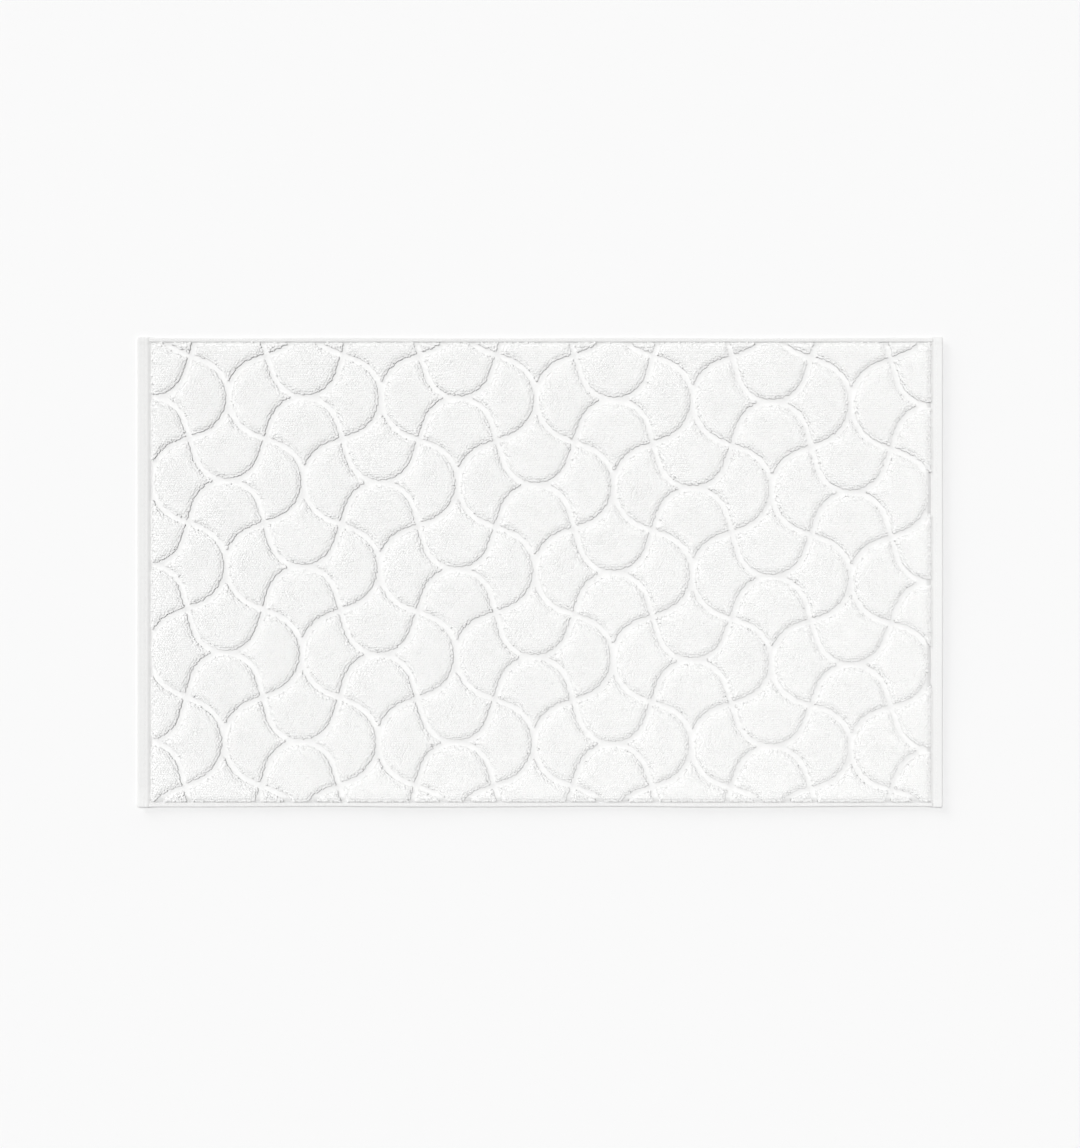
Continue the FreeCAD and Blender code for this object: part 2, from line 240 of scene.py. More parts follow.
def make_ground(cells_x=110, cells_y=66):
    bm = bmesh.new()
    bmesh.ops.create_grid(bm, x_segments=cells_x, y_segments=cells_y, size=0.5)
    spread = cloth_high - cloth_low
    middle = (cloth_high + cloth_low) / 2
    bmesh.ops.scale(bm, verts=bm.verts, vec=(spread.x, spread.y, 1))
    bmesh.ops.translate(bm, verts=bm.verts, vec=(middle.x, middle.y, cloth_low.z))
    raised = bmesh.ops.extrude_face_region(bm, geom=bm.faces[:], use_keep_orig=True)
    upper = [part for part in raised["geom"] if isinstance(part, bmesh.types.BMVert)]
    bmesh.ops.translate(bm, verts=upper, vec=(0, 0, spread.z))
    bmesh.ops.recalc_face_normals(bm, faces=bm.faces)
    for face in bm.faces:
        face.smooth = True
    mesh = bpy.data.meshes.new("ground_sheet")
    bm.to_mesh(mesh)
    bm.free()
    lay_down(mesh)
    return bpy.data.objects.new("ground_sheet", mesh)


ground = set_piece(make_ground(), ground_weave, "ground_weave", "ground_cloth")

# ---------------------------------------------------------------------------------------------------------
# Hems
# Every edge of the cloth is turned under twice and pressed, so a hem is three layers of the same cloth, open
# at its ends. The long sides have narrow hems; the wide end hems are turned last, over the ends of those.

LAYER = 1.0 * MM
INNER_FOLD = 0.58 * MM
HEM_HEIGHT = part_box("hem_left")[1][2]
OUTER_FOLD = (HEM_HEIGHT - LAYER) / 2
CLOTH_MIDDLE = (cloth_low.z + cloth_high.z) / 2
END_SLOPE = 4.4 * MM
SIDE_SLOPE = 1.7 * MM
TUCKED_UNDER_PILE = 1.2 * MM
INNER_FOLD_GAP = 0.9 * MM
INNER_LAYER_END = 2.3 * MM
SIDE_HEM_OVERRUN = 2.2 * MM
STITCH = 3.2 * MM
FURROW = 0.8 * MM
FURROW_DEPTH = 0.4 * MM
RIDGE_PITCH = 3 * MM
RIDGE_HEIGHT = 0.07 * MM
SHAPED_EDGE = 5 * MM
CORNER_REACH = 8 * MM
CORNER_BLEND = 3 * MM
CORNER_BULGE = 0.5 * MM
CORNER_ROUND = 2.4 * MM
CORNER_INSET = 1.4 * MM
SIDE_WAVE = 0.29
SIDE_PLACES = {
    "left": Matrix.Translation((mat_low.x, mat_low.y, 0)),
    "right": Matrix.Translation((mat_high.x, mat_high.y, 0)) @ Matrix.Rotation(math.pi, 4, "Z"),
    "front": Matrix.Translation((mat_high.x, mat_low.y, 0)) @ Matrix.Rotation(math.pi / 2, 4, "Z"),
    "rear": Matrix.Translation((mat_low.x, mat_high.y, 0)) @ Matrix.Rotation(-math.pi / 2, 4, "Z"),
}


def box_beside(side, node_name):
    """A node's box seen from one side of the mat: X runs in from the outer edge, and Y along it."""
    corners = [SIDE_PLACES[side].inverted() @ Vector(corner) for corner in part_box(node_name)]
    return [Vector(pick(values) for values in zip(*corners)) for pick in (min, max)]


def carry_on(bm, end, target, steps):
    """Carry the strip straight on from its last vertex to a target (in from the edge, height)."""
    stride = (Vector((target[0], 0, target[1])) - end.co) / steps
    for _ in range(steps):
        start = end.co.copy()
        end = bmesh.ops.extrude_vert_indiv(bm, verts=[end])["verts"][0]
        end.co = start + stride
    return end


def fold_back(bm, end, centre, steps):
    """Turn the strip back on itself about a centre (in from the edge, height)."""
    turned = bmesh.ops.spin(bm, geom=[end], cent=(centre[0], 0, centre[1]), axis=(0, -1, 0), angle=math.pi,
                            steps=steps)
    return next(part for part in turned["geom_last"] if isinstance(part, bmesh.types.BMVert))


def smooth_step(amount):
    amount = np.clip(amount, 0, 1)
    return amount * amount * (3 - 2 * amount)


def hem_section(bm, width, slope):
    """Half way through the cloth of a hem: up from the ground cloth, over, round, back and in again."""
    top = HEM_HEIGHT - LAYER / 2
    end = bm.verts.new((width + TUCKED_UNDER_PILE, 0, CLOTH_MIDDLE))
    end = carry_on(bm, end, (width, CLOTH_MIDDLE), 1)
    climb = 5
    for step in range(1, climb + 1):
        rise = float(smooth_step(step / climb))
        end = carry_on(bm, end, (width - slope * step / climb, CLOTH_MIDDLE + (top - CLOTH_MIDDLE) * rise), 1)
    crown = end.co.x - LAYER / 2 - OUTER_FOLD
    top_steps, under_steps, inner_steps = (round(crown / (step * MM)) for step in (0.8, 1.6, 2.4))
    end = carry_on(bm, end, (LAYER / 2 + OUTER_FOLD, top), max(4, top_steps))
    end = fold_back(bm, end, (LAYER / 2 + OUTER_FOLD, HEM_HEIGHT / 2), 6)
    inner = width - slope - INNER_FOLD_GAP
    end = carry_on(bm, end, (inner, LAYER / 2), max(2, under_steps))
    end = fold_back(bm, end, (inner, LAYER / 2 + INNER_FOLD), 4)
    carry_on(bm, end, (INNER_LAYER_END, LAYER / 2 + 2 * INNER_FOLD), max(2, inner_steps))


def press_hem(points, length, seam, is_end_hem):
    """The marks that folding and sewing leave: ridges, puckers along the seam, and thick corners."""
    inward, along, height = points.T
    upper = height > HEM_HEIGHT / 2
    from_corner = np.minimum(along, length - along)
    pulled = 0.75 + 0.25 * np.cos(2 * np.pi * along / STITCH)
    hollow = np.exp(-((inward - seam) / FURROW) ** 2) * pulled
    ridges = RIDGE_HEIGHT * np.sin(2 * np.pi * inward / RIDGE_PITCH)
    height += np.where(upper, ridges - FURROW_DEPTH * hollow, FURROW_DEPTH / 2 * hollow * (height < LAYER))
    near_edge = np.clip(1 - inward / SHAPED_EDGE, 0, 1)
    if is_end_hem:
        covered = smooth_step((CORNER_REACH - from_corner) / CORNER_BLEND)
        height += CORNER_BULGE * covered * height / HEM_HEIGHT
        inward += CORNER_INSET * np.clip(1 - from_corner / CORNER_ROUND, 0, 1) ** 2 * near_edge
    else:
        inward += MM * (0.55 + 0.35 * np.sin(2 * np.pi * along / SIDE_WAVE)) * near_edge
    return np.column_stack([inward, along, height])


def draw_out(bm, profile, length, steps):
    """Draw a profile out along Y, in even steps."""
    drawn = bmesh.ops.extrude_edge_only(bm, edges=profile)["geom"]
    far = [part for part in drawn if isinstance(part, bmesh.types.BMVert)]
    bmesh.ops.translate(bm, verts=far, vec=(0, length, 0))
    lengthwise = [edge for vert in far for edge in vert.link_edges if edge.calc_length() > length / 2]
    bmesh.ops.subdivide_edges(bm, edges=lengthwise, cuts=steps - 1, use_grid_fill=True)


# The hems are the same cotton as the ground and the loops, but they are given a greyer white: painted shade
# that tones the flat, fully lit hems down.
hem_weave = woven("pressed_hem_weave", (0.76, 0.76, 0.755), 0.03, 0.3 * MM)


def make_hem(side):
    is_end_hem = side in ("left", "right")
    low, high = box_beside(side, f"hem_{side}")
    overrun = 0 if is_end_hem else SIDE_HEM_OVERRUN
    start = low.y - overrun
    length = high.y - low.y + 2 * overrun
    bm = bmesh.new()
    hem_section(bm, high.x, END_SLOPE if is_end_hem else SIDE_SLOPE)
    draw_out(bm, bm.edges[:], length, round(length / (STITCH / 2)))
    for face in bm.faces:
        face.smooth = True
    bmesh.ops.recalc_face_normals(bm, faces=bm.faces)
    mesh = bpy.data.meshes.new(f"{side}_hem")
    bm.to_mesh(mesh)
    bm.free()
    thread_low, thread_high = box_beside(side, f"needle_thread_{side}")
    points = press_hem(points_of(mesh), length, (thread_low.x + thread_high.x) / 2, is_end_hem)
    mesh.vertices.foreach_set("co", points.ravel())
    mesh.transform(SIDE_PLACES[side] @ Matrix.Translation((0, start, 0)))
    lay_down(mesh)
    hem = set_piece(bpy.data.objects.new(f"{side}_hem", mesh), hem_weave, "hem_weave", f"hem_{side}")
    layers = hem.modifiers.new("cloth", "SOLIDIFY")
    layers.thickness = LAYER
    layers.offset = 0
    layers.use_even_offset = True
    return hem


hems = [make_hem(side) for side in SIDE_PLACES]

# ---------------------------------------------------------------------------------------------------------
# Sewing thread
# Each hem is closed by one row of lockstitch in white cotton: a needle thread on top and a bobbin thread
# below, which go down and up into the cloth at every stitch and lock inside it.

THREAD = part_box("needle_thread_left")[1][2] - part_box("needle_thread_left")[0][2]
THREAD_SIDES = 5
STITCH_DIP = 0.9 * MM
STEPS_PER_STITCH = 4
SIDE_SWAY = 0.08 * MM


def make_thread_material():
    """White sewing thread, with the slanting ridges of its twist."""
    material, nodes, links = cotton("twisted_sewing_thread", (0.81, 0.81, 0.805), 0.02)
    twist = nodes.new("ShaderNodeTexWave")
    twist.bands_direction = "DIAGONAL"
    twist.inputs["Scale"].default_value = 130
    links.new(nodes["place"].outputs["Object"], twist.inputs["Vector"])
    raise_bumps(nodes, links, twist.outputs["Fac"], 0.1 * MM)
    return material


sewing_thread = make_thread_material()


def make_thread(kind, side):
    """One row of stitches, from a straight tube that is pushed into the hem wherever the needle went in."""
    low, high = box_beside(side, f"{kind}_thread_{side}")
    length = high.y - low.y
    steps = STEPS_PER_STITCH * round(length / STITCH)
    bm = bmesh.new()
    ring = bmesh.ops.create_circle(bm, radius=THREAD / 2, segments=THREAD_SIDES)["verts"]
    bmesh.ops.rotate(bm, verts=ring, cent=(0, 0, 0), matrix=Matrix.Rotation(math.pi / 2, 3, "X"))
    draw_out(bm, bm.edges[:], length, steps)
    bmesh.ops.holes_fill(bm, edges=bm.edges, sides=0)
    bmesh.ops.recalc_face_normals(bm, faces=bm.faces)
    for face in bm.faces:
        face.smooth = True
    mesh = bpy.data.meshes.new(f"{side}_{kind}_thread")
    bm.to_mesh(mesh)
    bm.free()
    points = points_of(mesh)
    stitches = points[:, 1] / length * steps / STEPS_PER_STITCH
    dip = STITCH_DIP * np.abs(np.cos(np.pi * stitches)) ** 6
    points[:, 0] += (low.x + high.x) / 2 + SIDE_SWAY * np.sin(2 * np.pi * stitches)
    points[:, 2] += (low.z + high.z) / 2 + (-dip if kind == "needle" else dip)
    mesh.vertices.foreach_set("co", points.ravel())
    mesh.transform(SIDE_PLACES[side] @ Matrix.Translation((0, low.y, 0)))
    lay_down(mesh)
    thread = bpy.data.objects.new(mesh.name, mesh)
    return set_piece(thread, sewing_thread, "sewing_thread", f"{kind}_thread_{side}")


threads = [make_thread(kind, side) for kind in ("needle", "bobbin") for side in SIDE_PLACES]

# ---------------------------------------------------------------------------------------------------------
# Terry pile
# Soft cotton loops about five millimetres tall, woven into the ground in fan-shaped islands. An even row of
# loops edges each island and leans out over the channel; inside, they stand close, each turned its own way.

YARN = 2.3 * MM
LOOP_SPAN = 1.6 * MM
YARN_SIDES = 4
COLUMN_PITCH = 2.7 * MM
ROW_PITCH = 2.35 * MM
RIM_PITCH = 2.1 * MM
RIM_INSET = 1.3 * MM
SHORT_LOOP = 2.0 * MM
SHOULDER_DROP = 2.4 * MM
SHOULDER_REACH = 2.4 * MM
NAP_SOFTNESS = 1.6


def make_terry_material():
    """Cotton loops, each with its own shade. The fibres of the nap scatter light, which softens each loop."""
    # The loops are the same cotton as the ground and the hems, but they are given the palest white of the
    # three: painted light that offsets the shade the loops cast on one another.
    material, nodes, links = cotton("terry_loops", (0.86, 0.86, 0.855), 0.03)
    tone = nodes.new("ShaderNodeAttribute")
    tone.attribute_name = "tone"
    paler = nodes.new("ShaderNodeMapRange")
    paler.inputs["To Min"].default_value = 0.97
    links.new(tone.outputs["Fac"], paler.inputs["Value"])
    tinted = nodes.new("ShaderNodeMix")
    tinted.data_type = "RGBA"
    tinted.blend_type = "MULTIPLY"
    tinted.inputs["Factor"].default_value = 1
    links.new(nodes["shade"].outputs["Result"], tinted.inputs["A"])
    links.new(paler.outputs["Result"], tinted.inputs["B"])
    links.new(tinted.outputs["Result"], nodes["Principled BSDF"].inputs["Base Color"])

    nap = nodes.new("ShaderNodeAttribute")
    nap.attribute_name = "nap"
    surface = nodes.new("ShaderNodeNewGeometry")
    leaning = nodes.new("ShaderNodeVectorMath")
    leaning.operation = "MULTIPLY_ADD"
    leaning.inputs[1].default_value = (NAP_SOFTNESS, NAP_SOFTNESS, NAP_SOFTNESS)
    links.new(nap.outputs["Vector"], leaning.inputs[0])
    links.new(surface.outputs["Normal"], leaning.inputs[2])
    softened = nodes.new("ShaderNodeVectorMath")
    softened.operation = "NORMALIZE"
    links.new(leaning.outputs["Vector"], softened.inputs[0])

    fuzz = nodes.new("ShaderNodeTexNoise")
    fuzz.inputs["Scale"].default_value = 2600
    fuzz.inputs["Detail"].default_value = 2
    links.new(nodes["place"].outputs["Object"], fuzz.inputs["Vector"])
    bump = raise_bumps(nodes, links, fuzz.outputs["Fac"], 0.2 * MM, 0.3)
    links.new(softened.outputs["Vector"], bump.inputs["Normal"])
    return material


terry_loops = make_terry_material()


def spread_out(thing):
    """Give a small object an unwrapped map for its bake."""
    bpy.context.scene.collection.objects.link(thing)
    bpy.context.view_layer.objects.active = thing
    thing.data.uv_layers.new(name="OFBake")
    bpy.ops.object.mode_set(mode="EDIT")
    bpy.ops.mesh.select_all(action="SELECT")
    bpy.ops.uv.smart_project(island_margin=0.02)
    bpy.ops.object.mode_set(mode="OBJECT")


def make_loop(name, rings, length):
    """A loop of thick yarn that rises, bends over and goes down again."""
    bm = bmesh.new()
    ring = bmesh.ops.create_circle(bm, cap_ends=True, radius=YARN / 2, segments=YARN_SIDES)["verts"]
    bmesh.ops.rotate(bm, verts=ring, cent=(0, 0, 0), matrix=Matrix.Rotation(math.pi / YARN_SIDES, 3, "Z"))
    bmesh.ops.translate(bm, verts=ring, vec=(LOOP_SPAN / 2, 0, 0))
    bmesh.ops.spin(bm, geom=bm.faces[:] + bm.edges[:] + bm.verts[:], cent=(0, 0, 0), axis=(0, -1, 0),
                   angle=math.pi, steps=rings - 1)
    top = max(vert.co.z for vert in bm.verts)
    bmesh.ops.scale(bm, verts=bm.verts, vec=(1, 1, length / top))
    bmesh.ops.recalc_face_normals(bm, faces=bm.faces)
    for face in bm.faces:
        face.smooth = True
    loop = bpy.data.objects.new(name, bpy.data.meshes.new(name))
    bm.to_mesh(loop.data)
    bm.free()
    spread_out(loop)
    return loop


PILE_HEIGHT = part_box("pile_upright_fans_row_1")[1][2] - cloth_high.z
ABOVE_SHOULDER = 0.3 * MM
TALL_LOOP = PILE_HEIGHT - SHOULDER_DROP + ABOVE_SHOULDER
LOOP_RINGS = 4
short_loop = make_loop("short_loop", LOOP_RINGS, SHORT_LOOP)
tall_loop = make_loop("tall_loop", LOOP_RINGS, TALL_LOOP)
random_draws = np.random.default_rng(7)


def island_tops(node_name):
    """The flat top of each island of a node, as one face each."""
    bm = bmesh.new()
    bm.from_mesh(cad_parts[node_name].data)
    bmesh.ops.remove_doubles(bm, verts=bm.verts, dist=0.01 * MM)
    top = max(vert.co.z for vert in bm.verts)
    lower = [face for face in bm.faces if face.calc_center_median().z < top - 0.1 * MM]
    bmesh.ops.delete(bm, geom=lower, context="FACES")
    bmesh.ops.dissolve_limit(bm, angle_limit=0.01, verts=bm.verts, edges=bm.edges)
    return bm


def depth_inside(points, outline):
    """How deep points lie inside a closed outline (negative outside), and the way out to its nearest edge."""
    runs = np.roll(outline, -1, axis=0) - outline
    offsets = points[:, None] - outline
    share = np.clip((offsets * runs).sum(axis=2) / (runs ** 2).sum(axis=1), 0, 1)
    ways = share[:, :, None] * runs - offsets
    gaps = np.hypot(ways[:, :, 0], ways[:, :, 1])
    nearest = gaps.argmin(axis=1)
    rows = np.arange(len(points))
    gap = gaps[rows, nearest]
    crossed = (offsets[:, :, 1] < 0) != (offsets[:, :, 1] < runs[:, 1])
    level = np.where(runs[:, 1] == 0, 1, runs[:, 1])
    to_the_left = offsets[:, :, 0] < offsets[:, :, 1] / level * runs[:, 0]
    inside = (crossed & to_the_left).sum(axis=1) % 2 == 1
    return np.where(inside, gap, -gap), ways[rows, nearest] / np.maximum(gap, 1e-9)[:, None]


def paced_out(outline):
    """The runs of a closed outline, their lengths, and how far round it each of its corners comes."""
    runs = np.roll(outline, -1, axis=0) - outline
    lengths = np.hypot(*runs.T)
    return runs, lengths, np.concatenate([[0], np.cumsum(lengths)])


# Each step of the bed: how far in from the island's edge it stands, and how far below the pile's top.
BED_STEPS = ((1.2 * MM, 3.8 * MM), (2.6 * MM, 2.5 * MM), (4.6 * MM, 1.7 * MM), (7.6 * MM, 1.1 * MM))
BED_SPACING = 2.2 * MM
BED_SUNK = 0.3 * MM
FEWEST_PLACES = 7
KEPT_SHARE = 0.96


def drawn_in(outline, inset):
    """An outline moved inwards by an even distance, without the places where it would cross itself."""
    marks = paced_out(outline)[2]
    count = round(marks[-1] / BED_SPACING)
    stations = np.arange(count) * marks[-1] / count
    closed = np.vstack([outline, outline[:1]])
    even = np.column_stack([np.interp(stations, marks, closed[:, axis]) for axis in (0, 1)])
    ahead = np.roll(even, -1, axis=0) - np.roll(even, 1, axis=0)
    inward = np.column_stack([-ahead[:, 1], ahead[:, 0]]) / np.hypot(*ahead.T)[:, None]
    moved = even + inward * inset
    return moved[depth_inside(moved, outline)[0] > KEPT_SHARE * inset]


def add_ring(bm, places, height):
    """A closed ring of vertices at one height; returns its vertices and edges."""
    verts = [bm.verts.new((x, y, height)) for x, y in places]
    return verts, [bm.edges.new(pair) for pair in zip(verts, verts[1:] + verts[:1])]


def make_bed(node_name):
    """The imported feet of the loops: each island, drawn in and lower, and sloping up towards its middle."""
    tops = island_tops(node_name)
    bm = bmesh.new()
    for face in tops.faces:
        outline = np.array([vert.co.xy for vert in face.verts])
        rings = [drawn_in(outline, inset) for inset, _ in BED_STEPS]
        rings = [ring for ring in rings if len(ring) >= FEWEST_PLACES]
        if not rings:
            continue
        added = [add_ring(bm, rings[0], cloth_high.z - BED_SUNK)]
        for ring, (_, drop) in zip(rings, BED_STEPS):
            added.append(add_ring(bm, ring, cloth_high.z + PILE_HEIGHT - drop))
            bmesh.ops.bridge_loops(bm, edges=added[-2][1] + added[-1][1])
        bm.faces.new(added[0][0])
        bm.faces.new(added[-1][0])
    tops.free()
    bmesh.ops.triangulate(bm, faces=bm.faces)
    bmesh.ops.recalc_face_normals(bm, faces=bm.faces)
    bed = bpy.data.objects.new("pile_bed", bpy.data.meshes.new("pile_bed"))
    bm.to_mesh(bed.data)
    bm.free()
    spread_out(bed)
    return bed


STATION_RANGE = (0.3, 0.7)
RIM_SLACK = (-0.15 * MM, 0.2 * MM)
WANDER = 0.45 * MM
WANDER_BEND = 1.3 * MM
DRIFT = 0.25 * MM
DRIFT_BEND = 2.1 * MM
RIM_CLEARANCE = 0.5 * MM
FIELD_SLACK = 0.45 * MM
FIELD_CLEARANCE = 1.0 * MM


def rim_places(outline):
    """An even row of places just inside an outline, with the way out and the heading of the edge at each."""
    runs, lengths, marks = paced_out(outline)
    count = max(3, round(marks[-1] / RIM_PITCH))
    stations = (np.arange(count) + random_draws.uniform(*STATION_RANGE, count)) * marks[-1] / count
    run = np.searchsorted(marks, stations, side="right") - 1
    ahead = runs[run] / lengths[run][:, None]
    outward = np.column_stack([ahead[:, 1], -ahead[:, 0]])
    inset = RIM_INSET + random_draws.uniform(*RIM_SLACK, count)
    places = outline[run] + ahead * (stations - marks[run])[:, None] - outward * inset[:, None]
    places += WANDER * np.sin(places[:, ::-1] / WANDER_BEND) + DRIFT * np.sin(places / DRIFT_BEND)
    kept = depth_inside(places, outline)[0] > RIM_CLEARANCE
    return places[kept], outward[kept], np.arctan2(ahead[:, 1], ahead[:, 0])[kept]


def field_places(outline):
    """Staggered, slightly uneven places over the inside of an outline, with their depth and the way out."""
    low = np.floor(outline.min(axis=0) / (COLUMN_PITCH, ROW_PITCH)).astype(int)
    high = np.ceil(outline.max(axis=0) / (COLUMN_PITCH, ROW_PITCH)).astype(int)
    columns, rows = np.meshgrid(np.arange(low[0] - 1, high[0] + 1), np.arange(low[1], high[1] + 1))
    places = np.column_stack([(columns + 0.5 * (rows % 2)).ravel(), rows.ravel()]) * (COLUMN_PITCH, ROW_PITCH)
    places = places + random_draws.uniform(-FIELD_SLACK, FIELD_SLACK, places.shape)
    depth, outward = depth_inside(places, outline)
    kept = depth > RIM_INSET + FIELD_CLEARANCE
    return places[kept], depth[kept], outward[kept]


TIP_SCATTER = 0.08
WIDTH_RANGE = (0.92, 1.08)
GROWTH_RANGE = (0.94, 1.04)


def loop_settings(places, lean, outward, heading, top, length):
    """What the geometry nodes need for a group of loops: place, nap, heading, stretch and tone of each."""
    count = len(places)
    tip = random_draws.normal(0, TIP_SCATTER, (count, 2))
    nap = np.column_stack([outward * lean[:, None] + tip, np.ones(count)])
    width = random_draws.uniform(*WIDTH_RANGE, count)
    growth = random_draws.uniform(*GROWTH_RANGE, count)
    base = cloth_high.z + top - length
    return {
        "place": np.column_stack([places, base]),
        "nap": nap,
        "heading": heading,
        "stretch": np.column_stack([width, width, growth]),
        "tone": random_draws.uniform(0, 1, count),
    }


def scatter_tree():
    """Geometry nodes that set the short and the tall loops on their places and join them to the bed."""
    tree = bpy.data.node_groups.new("set_loops", "GeometryNodeTree")
    for name in ("Short", "Tall", "Bed"):
        tree.interface.new_socket(name, in_out="INPUT", socket_type="NodeSocketObject")
    tree.interface.new_socket("Geometry", in_out="OUTPUT", socket_type="NodeSocketGeometry")
    start = tree.nodes.new("NodeGroupInput")
    end = tree.nodes.new("NodeGroupOutput")
    join = tree.nodes.new("GeometryNodeJoinGeometry")
    link = tree.links.new
    attributes = {}
    for name, kind in (("nap", "FLOAT_VECTOR"), ("heading", "FLOAT"), ("stretch", "FLOAT_VECTOR")):
        attributes[name] = tree.nodes.new("GeometryNodeInputNamedAttribute")
        attributes[name].data_type = kind
        attributes[name].inputs["Name"].default_value = name
    stand = tree.nodes.new("FunctionNodeAlignRotationToVector")
    stand.axis = "Z"
    spin_by = tree.nodes.new("ShaderNodeCombineXYZ")
    spin = tree.nodes.new("FunctionNodeEulerToRotation")
    turned = tree.nodes.new("FunctionNodeRotateRotation")
    turned.rotation_space = "LOCAL"
    link(attributes["nap"].outputs["Attribute"], stand.inputs["Vector"])
    link(attributes["heading"].outputs["Attribute"], spin_by.inputs["Z"])
    link(spin_by.outputs["Vector"], spin.inputs["Euler"])
    link(stand.outputs["Rotation"], turned.inputs["Rotation"])
    link(spin.outputs["Rotation"], turned.inputs["Rotate By"])
    for name, loop in (("Short", short_loop), ("Tall", tall_loop)):
        places = tree.nodes.new("GeometryNodeObjectInfo")
        link(start.outputs[name], places.inputs["Object"])
        shape = tree.nodes.new("GeometryNodeObjectInfo")
        shape.inputs["Object"].default_value = loop
        setter = tree.nodes.new("GeometryNodeInstanceOnPoints")
        link(places.outputs["Geometry"], setter.inputs["Points"])
        link(shape.outputs["Geometry"], setter.inputs["Instance"])
        link(turned.outputs["Rotation"], setter.inputs["Rotation"])
        link(attributes["stretch"].outputs["Attribute"], setter.inputs["Scale"])
        realize = tree.nodes.new("GeometryNodeRealizeInstances")
        link(setter.outputs["Instances"], realize.inputs["Geometry"])
        link(realize.outputs["Geometry"], join.inputs["Geometry"])
    bed = tree.nodes.new("GeometryNodeObjectInfo")
    link(start.outputs["Bed"], bed.inputs["Object"])
    link(bed.outputs["Geometry"], join.inputs["Geometry"])
    link(join.outputs["Geometry"], end.inputs["Geometry"])
    return tree


set_loops = scatter_tree()
SOCKETS = {item.name: item.identifier for item in set_loops.interface.items_tree}


def hold_places(settings, first_number):
    """A cloud of points that carries the settings of its loops; loops are numbered from first_number."""
    merged = {name: np.concatenate([group[name] for group in settings]) for name in settings[0]}
    cloud = bpy.data.meshes.new("loop_places")
    cloud.from_pydata(merged["place"].tolist(), [], [])
    for name in ("nap", "stretch"):
        cloud.attributes.new(name, "FLOAT_VECTOR", "POINT").data.foreach_set("vector", merged[name].ravel())
    for name in ("heading", "tone"):
        cloud.attributes.new(name, "FLOAT", "POINT").data.foreach_set("value", merged[name])
    numbers = np.arange(first_number, first_number + len(merged["place"]))
    cloud.attributes.new("loop_number", "INT", "POINT").data.foreach_set("value", numbers)
    holder = bpy.data.objects.new("loop_places", cloud)
    bpy.context.scene.collection.objects.link(holder)
    return holder


BED_STRIP = 0.15
CELL_MARGIN = 0.04


def share_map(mesh, loop_count):
    """Give each loop its own cell of the piece's bake map, and the bed a strip along the top."""
    corners = len(mesh.loops)
    corner_vertex = np.empty(corners, dtype=np.int32)
    mesh.loops.foreach_get("vertex_index", corner_vertex)
    numbers = np.empty(len(mesh.vertices), dtype=np.int32)
    mesh.attributes["loop_number"].data.foreach_get("value", numbers)
    number = numbers[corner_vertex]
    bake_map = mesh.uv_layers["OFBake"]
    uv = np.empty(corners * 2)
    bake_map.uv.foreach_get("vector", uv)
    uv = uv.reshape(-1, 2)
    across = math.ceil(math.sqrt(loop_count / (1 - BED_STRIP)))
    down = math.ceil(loop_count / across)
    cell = np.column_stack([(number - 1) % across, (number - 1) // across])
    on_loop = (cell + CELL_MARGIN + (1 - 2 * CELL_MARGIN) * uv) / (across, down) * (1, 1 - BED_STRIP)
    on_bed = uv * (1, BED_STRIP) + (0, 1 - BED_STRIP)
    uv = np.where((number > 0)[:, None], on_loop, on_bed)
    bake_map.uv.foreach_set("vector", uv.ravel())


RIM_LEAN = (0.05, 0.25)
RIM_TWIST = 0.5
RIM_UNEVENNESS = 0.3
SHOULDER_LEAN = 0.15


def make_pile(node_name):
    """The loops and the bed of one course of islands, set out, joined and laid on the cloth."""
    short, tall = [], []
    tops = island_tops(node_name)
    for face in tops.faces:
        outline = np.array([vert.co.xy for vert in face.verts])
        places, outward, edge_heading = rim_places(outline)
        count = len(places)
        if count:
            lean = random_draws.uniform(*RIM_LEAN, count)
            heading = edge_heading + random_draws.uniform(-RIM_TWIST, RIM_TWIST, count)
            top = TALL_LOOP - random_draws.uniform(0, RIM_UNEVENNESS, count) * MM
            tall.append(loop_settings(places, lean, outward, heading, top, TALL_LOOP))
        places, depth, outward = field_places(outline)
        count = len(places)
        if count:
            shoulder = np.exp(-(depth - RIM_INSET) / SHOULDER_REACH)
            heading = random_draws.uniform(0, math.pi, count)
            top = PILE_HEIGHT - SHOULDER_DROP * shoulder
            short.append(loop_settings(places, SHOULDER_LEAN * shoulder, outward, heading, top, SHORT_LOOP))
    tops.free()
    empty = loop_settings(np.empty((0, 2)), np.empty(0), np.empty((0, 2)), np.empty(0), np.empty(0), 0)
    tall_holder = hold_places(tall or [empty], 1)
    short_holder = hold_places(short or [empty], 1 + len(tall_holder.data.vertices))
    bed = make_bed(node_name)
    carrier = bpy.data.objects.new("pile_carrier", bpy.data.meshes.new("pile_carrier"))
    bpy.context.scene.collection.objects.link(carrier)
    setter = carrier.modifiers.new("set_loops", "NODES")
    setter.node_group = set_loops
    for socket, thing in (("Short", short_holder), ("Tall", tall_holder), ("Bed", bed)):
        setter[SOCKETS[socket]] = thing
    mesh = bpy.data.meshes.new_from_object(carrier.evaluated_get(bpy.context.evaluated_depsgraph_get()))
    mesh.name = node_name.replace("pile_", "terry_")
    share_map(mesh, len(tall_holder.data.vertices) + len(short_holder.data.vertices))
    for thing in (carrier, tall_holder, short_holder, bed):
        spent = thing.data
        bpy.data.objects.remove(thing)
        bpy.data.meshes.remove(spent)
    lay_down(mesh)
    return bpy.data.objects.new(mesh.name, mesh)


for node_name in sorted(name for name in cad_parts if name.startswith("pile_")):
    set_piece(make_pile(node_name), terry_loops, "terry_pile", node_name)
for loop in (short_loop, tall_loop):
    bpy.data.objects.remove(loop)
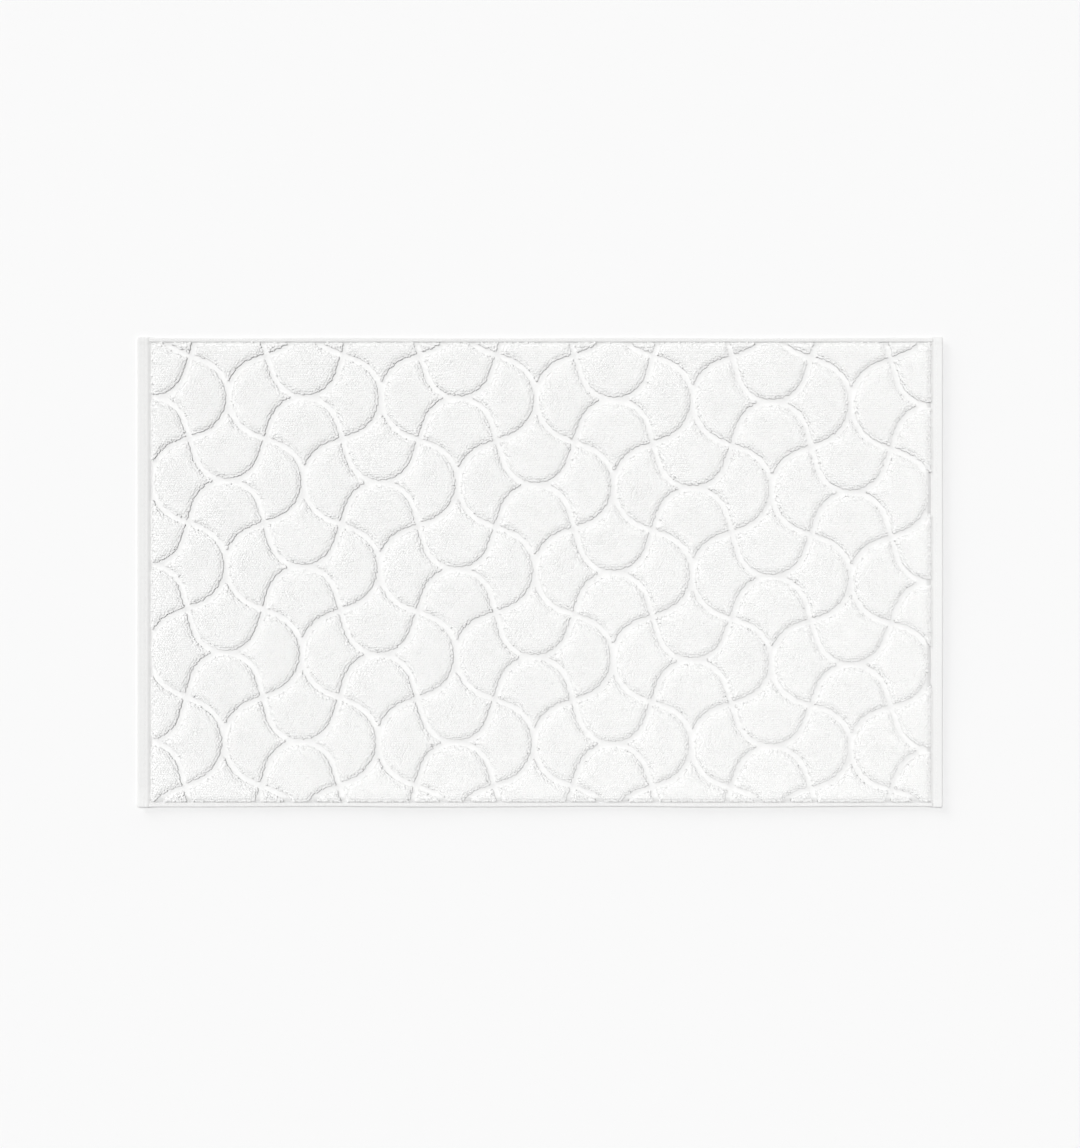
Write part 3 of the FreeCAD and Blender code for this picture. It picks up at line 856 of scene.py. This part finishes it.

# ---------------------------------------------------------------------------------------------------------
# Studio
# A plain pale floor, a soft key light almost overhead, a low one from the upper left that draws the shadow
# along the mat's far edges, and a white surround that meets the floor at the horizon, all seen straight down.

FLOOR_SIZE = 40
FLOOR_GAP = 0.05 * MM
floor = bpy.data.objects.new("studio_floor", bpy.data.meshes.new("studio_floor"))
bm = bmesh.new()
bmesh.ops.create_grid(bm, x_segments=1, y_segments=1, size=FLOOR_SIZE / 2)
bmesh.ops.translate(bm, verts=bm.verts, vec=(0, 0, -FLOOR_GAP))
bm.to_mesh(floor.data)
bm.free()
bpy.context.scene.collection.objects.link(floor)
floor_material = bpy.data.materials.new("pale_floor")
floor_material.use_nodes = True
floor_shader = floor_material.node_tree.nodes["Principled BSDF"]
floor_shader.inputs["Base Color"].default_value = (0.82, 0.82, 0.82, 1)
floor_shader.inputs["Roughness"].default_value = 0.9
floor_shader.inputs["Specular IOR Level"].default_value = 0.1
floor.data.materials.append(floor_material)

HORIZON_STRENGTH = 0.956
OVERHEAD_STRENGTH = 0.244
FALL_STARTS = 0.22
FALL_ENDS = 0.45
world = bpy.data.worlds.new("even_surround")
world.use_nodes = True
world_nodes = world.node_tree.nodes
world_links = world.node_tree.links
world_nodes["Background"].inputs["Color"].default_value = (1, 1, 1, 1)
direction = world_nodes.new("ShaderNodeTexCoord")
heights = world_nodes.new("ShaderNodeSeparateXYZ")
falling = world_nodes.new("ShaderNodeMapRange")
falling.inputs["From Min"].default_value = FALL_STARTS
falling.inputs["From Max"].default_value = FALL_ENDS
falling.inputs["To Min"].default_value = HORIZON_STRENGTH
falling.inputs["To Max"].default_value = OVERHEAD_STRENGTH
world_links.new(direction.outputs["Generated"], heights.inputs["Vector"])
world_links.new(heights.outputs["Z"], falling.inputs["Value"])
world_links.new(falling.outputs["Result"], world_nodes["Background"].inputs["Strength"])
bpy.context.scene.world = world


def add_sun(name, height, spread, strength):
    """A soft sun from the upper left, this many degrees up and this many degrees wide."""
    sun = bpy.data.objects.new(name, bpy.data.lights.new(name, "SUN"))
    sun.data.energy = strength
    sun.data.angle = math.radians(spread)
    towards = Vector((-1, 1, math.sqrt(2) * math.tan(math.radians(height))))
    sun.rotation_euler = towards.to_track_quat("Z", "Y").to_euler()
    bpy.context.scene.collection.objects.link(sun)


add_sun("soft_key", 77, 10, 2.38)
add_sun("low_fill", 25, 26, 0.75)

CAMERA_HEIGHT = 2.4
VIEW_HEIGHT = 1.233
SENSOR_HEIGHT = 24
camera = bpy.data.objects.new("camera", bpy.data.cameras.new("camera"))
camera.data.sensor_fit = "VERTICAL"
camera.data.sensor_height = SENSOR_HEIGHT
camera.data.lens = SENSOR_HEIGHT * CAMERA_HEIGHT / VIEW_HEIGHT
camera.location = (0.0003, -0.0019, CAMERA_HEIGHT)
bpy.context.scene.collection.objects.link(camera)
bpy.context.scene.camera = camera
bpy.context.scene.view_settings.view_transform = "Standard"
